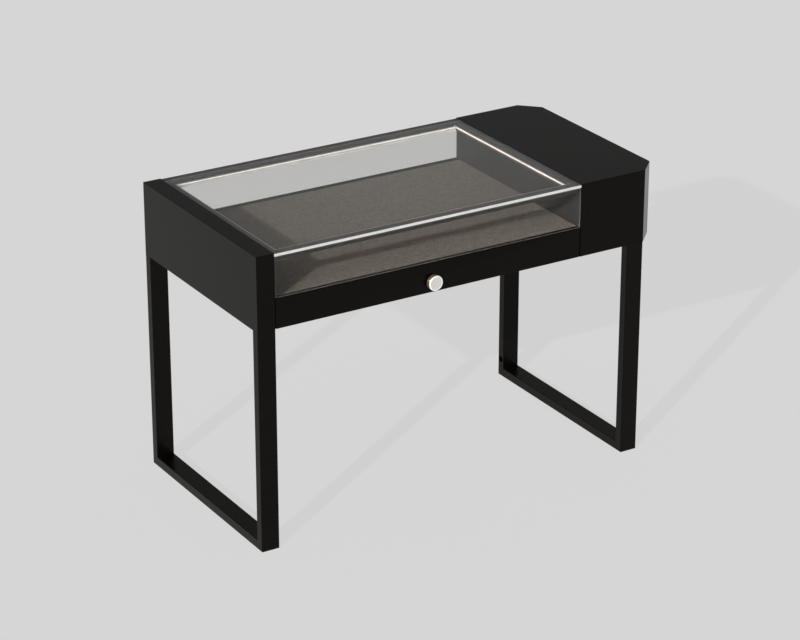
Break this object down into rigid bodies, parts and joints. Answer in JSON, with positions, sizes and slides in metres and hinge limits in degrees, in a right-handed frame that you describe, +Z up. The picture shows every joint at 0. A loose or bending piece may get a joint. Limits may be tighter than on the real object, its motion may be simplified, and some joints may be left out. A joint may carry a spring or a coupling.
{
  "type": "display table",
  "caption": "Low glass display table with a knobbed pull-out felt tray under a lit glass top, a side box with cut corners and tube sled legs.",
  "frame": {"origin": "middle of the footprint box on the floor, knob included", "axes": "+X to the right along the length as seen from the front, towards the side box; +Y to the back; +Z up"},
  "size_m": [1.2, 0.62, 0.8],
  "materials": {
    "black_lacquer": "semi-gloss lacquer",
    "tray_board": "matt",
    "frame_black": "satin powder coat",
    "clear_glass": "polished",
    "grey_felt": "napped",
    "rail_alloy": "dark anodised",
    "gasket_black": "matt",
    "light_white": "opal",
    "runner_zinc": "bright zinc",
    "knob_bronze": "satin",
    "knob_silver": "satin with a bright rim",
    "driver_white": "matt"
  },
  "bodies": {
    "case": {"left_leg_frame": "frame_black", "right_leg_frame": "frame_black", "left_end_panel": "black_lacquer", "carcass_base": "black_lacquer", "rear_board": "black_lacquer", "rear_glass": "clear_glass", "top_glass": "clear_glass", "led_rail_left": "rail_alloy", "led_rail_right": "rail_alloy", "led_rail_front": "rail_alloy", "led_rail_rear": "rail_alloy", "led_tape_left": "light_white", "led_tape_right": "light_white", "led_tape_front": "light_white", "led_tape_rear": "light_white", "led_diffuser_left": "light_white", "led_diffuser_right": "light_white", "led_diffuser_front": "light_white", "led_diffuser_rear": "light_white", "glass_gasket_left": "gasket_black", "glass_gasket_right": "gasket_black", "glass_gasket_front": "gasket_black", "glass_gasket_rear": "gasket_black", "box_top": "black_lacquer", "box_base": "black_lacquer", "box_front": "black_lacquer", "box_front_corner": "black_lacquer", "box_end": "black_lacquer", "box_rear_corner": "black_lacquer", "box_back": "black_lacquer", "box_inner_side": "black_lacquer", "led_driver": "driver_white", "runner_outer_left": "runner_zinc", "runner_outer_right": "runner_zinc"},
    "tray": {"drawer_front": "black_lacquer", "front_glass": "clear_glass", "display_deck": "tray_board", "felt_lining": "grey_felt", "drawer_side_left": "tray_board", "drawer_side_right": "tray_board", "drawer_back": "tray_board", "deck_bearer": "tray_board", "runner_inner_left": "runner_zinc", "runner_inner_right": "runner_zinc", "knob_barrel": "knob_bronze", "knob_cap": "knob_silver", "knob_screw": "runner_zinc"},
    "left_runner_middle": {"runner_middle_left": "runner_zinc"},
    "right_runner_middle": {"runner_middle_right": "runner_zinc"},
    "left_outer_cage": {"runner_cage_outer_left": "runner_zinc"},
    "right_outer_cage": {"runner_cage_outer_right": "runner_zinc"},
    "left_inner_cage": {"runner_cage_inner_left": "runner_zinc"},
    "right_inner_cage": {"runner_cage_inner_right": "runner_zinc"}
  },
  "joints": [
    {"name": "drawer_slide", "type": "slide", "parent": "case", "child": "tray", "axis": [0, -1, 0], "range_m": [0, 0.45]},
    {"name": "left_runner_slide", "type": "slide", "parent": "case", "child": "left_runner_middle", "axis": [0, -1, 0], "range_m": [0, 0.225]},
    {"name": "right_runner_slide", "type": "slide", "parent": "case", "child": "right_runner_middle", "axis": [0, -1, 0], "range_m": [0, 0.225]},
    {"name": "left_outer_cage_slide", "type": "slide", "parent": "case", "child": "left_outer_cage", "axis": [0, -1, 0], "range_m": [0, 0.1125]},
    {"name": "right_outer_cage_slide", "type": "slide", "parent": "case", "child": "right_outer_cage", "axis": [0, -1, 0], "range_m": [0, 0.1125]},
    {"name": "left_inner_cage_slide", "type": "slide", "parent": "case", "child": "left_inner_cage", "axis": [0, -1, 0], "range_m": [0, 0.3375]},
    {"name": "right_inner_cage_slide", "type": "slide", "parent": "case", "child": "right_inner_cage", "axis": [0, -1, 0], "range_m": [0, 0.3375]}
  ],
  "couplings": [
    {"joint": "left_runner_slide", "follows": "drawer_slide", "ratio": 0.5},
    {"joint": "right_runner_slide", "follows": "drawer_slide", "ratio": 0.5},
    {"joint": "left_outer_cage_slide", "follows": "drawer_slide", "ratio": 0.25},
    {"joint": "right_outer_cage_slide", "follows": "drawer_slide", "ratio": 0.25},
    {"joint": "left_inner_cage_slide", "follows": "drawer_slide", "ratio": 0.75},
    {"joint": "right_inner_cage_slide", "follows": "drawer_slide", "ratio": 0.75}
  ]
}
